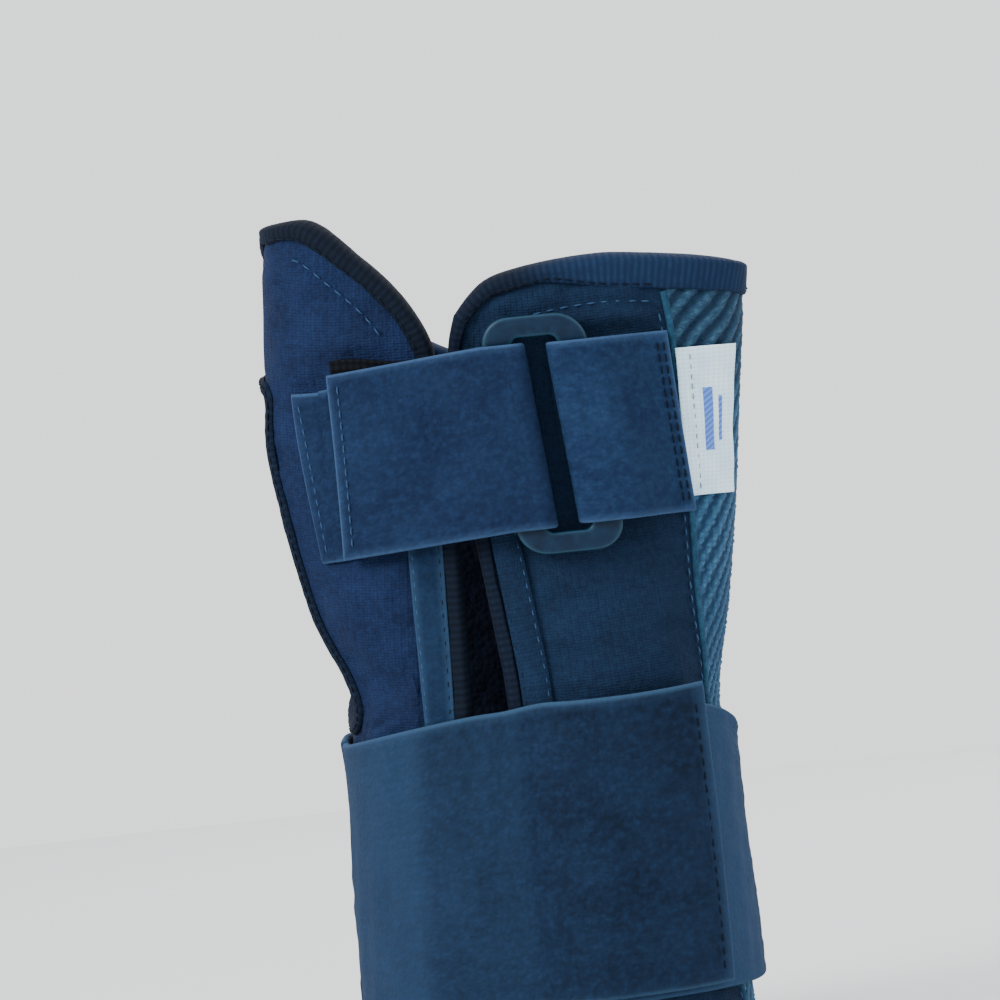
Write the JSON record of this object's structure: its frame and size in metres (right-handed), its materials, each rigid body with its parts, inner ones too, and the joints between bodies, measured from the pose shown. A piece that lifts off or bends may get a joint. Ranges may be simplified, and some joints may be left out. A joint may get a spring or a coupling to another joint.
{
  "type": "wrist splint",
  "caption": "Wrap-round right wrist splint with two padded dorsal flaps, a ring-and-webbing hand strap, a wide elastic wrist strap, a thumb hole and a removable palm stay.",
  "frame": {"origin": "centre of the bounding box's base, under the forearm rim", "axes": "+Z along the forearm towards the fingers, -Y out of the back of the hand, +X towards the little finger"},
  "size_m": [0.0852, 0.0668, 0.1485],
  "materials": {
    "laminate": "padded knit-faced foam laminate, navy",
    "lining": "brushed terry lining, dark navy",
    "mesh": "ribbed spacer mesh, teal blue",
    "binding": "ribbed folded edge tape, dark navy",
    "webbing": "loop-faced webbing, navy",
    "elastic": "brushed loop-faced elastic, navy",
    "hook": "moulded hook tape, near black",
    "plastic": "moulded nylon, dark teal blue",
    "steel": "sprung steel strip, sealed between the layers",
    "aluminium": "satin, rounded edges",
    "label": "woven satin label, pale blue"
  },
  "bodies": {
    "root": {"palm_panel": "laminate", "palm_lining": "lining", "ulnar_mesh_side": "mesh", "palm_top_binding": "binding", "palm_bottom_binding": "binding", "thumb_hole_binding_palm": "binding", "stay_pocket": "laminate", "pocket_mouth_tape": "binding", "wrist_strap_round": "elastic"},
    "radial_flap": {"radial_flap_laminate": "laminate", "radial_flap_lining": "lining", "radial_flap_edge_binding": "binding", "radial_flap_bottom_binding": "binding", "radial_stay_channel": "laminate", "radial_dorsal_stay": "steel", "thumb_hole_binding_back": "binding", "hand_strap_base": "webbing"},
    "ulnar_flap": {"ulnar_flap_laminate": "laminate", "ulnar_flap_lining": "lining", "ulnar_mesh_front": "mesh", "ulnar_flap_edge_binding": "binding", "ulnar_flap_bottom_binding": "binding", "ulnar_stay_channel": "laminate", "ulnar_dorsal_stay": "steel", "wrist_strap_start": "elastic", "sewn_label": "label"},
    "ring": {"strap_ring": "plastic", "ring_anchor_loop": "webbing"},
    "hand_strap": {"hand_strap": "webbing", "hand_strap_turn": "webbing"},
    "hand_strap_tail": {"hand_strap_tail": "webbing", "hand_strap_hook": "hook"},
    "wrist_strap": {"wrist_strap_over": "elastic", "wrist_strap_hook": "hook"},
    "palm_stay": {"palm_stay": "aluminium"}
  },
  "joints": [
    {"name": "radial_flap_open", "type": "hinge", "parent": "root", "child": "radial_flap", "pos_m": [-0.03993, 0.0001, 0.0444], "axis": [0.0434, 0.1403, -0.9892], "range_deg": [0, 40]},
    {"name": "ulnar_flap_open", "type": "hinge", "parent": "root", "child": "ulnar_flap", "pos_m": [0.03859, 0.00065, 0.0405], "axis": [0.0578, -0.1402, 0.9884], "range_deg": [0, 25]},
    {"name": "wrist_strap_open", "type": "hinge", "parent": "radial_flap", "child": "wrist_strap", "pos_m": [-0.03993, 0.0001, 0.0444], "axis": [0.0434, 0.1403, -0.9892], "range_deg": [0, 110]},
    {"name": "hand_strap_open", "type": "hinge", "parent": "radial_flap", "child": "hand_strap", "pos_m": [-0.03271, -0.02107, 0.10725], "axis": [-0.0049, 0.1457, -0.9893], "range_deg": [0, 130]},
    {"name": "hand_strap_tail_peel", "type": "hinge", "parent": "hand_strap", "child": "hand_strap_tail", "pos_m": [0.00061, -0.03124, 0.10621], "axis": [-0.0856, -0.1173, 0.9894], "range_deg": [0, 165], "deforming": ["hand_strap_turn"]},
    {"name": "ring_lift", "type": "hinge", "parent": "ulnar_flap", "child": "ring", "pos_m": [0.02924, -0.02235, 0.10708], "axis": [-0.1061, -0.2274, 0.968], "range_deg": [0, 60]},
    {"name": "palm_stay_slide", "type": "hinge", "parent": "root", "child": "palm_stay", "pos_m": [-0.00068, -0.52611, 0], "axis": [1, 0, 0], "range_deg": [0, 10.6]}
  ],
  "couplings": [
    {"joint": "ulnar_flap_open", "follows": "radial_flap_open", "ratio": 0.5},
    {"joint": "ring_lift", "follows": "hand_strap_open", "ratio": 0.35}
  ]
}
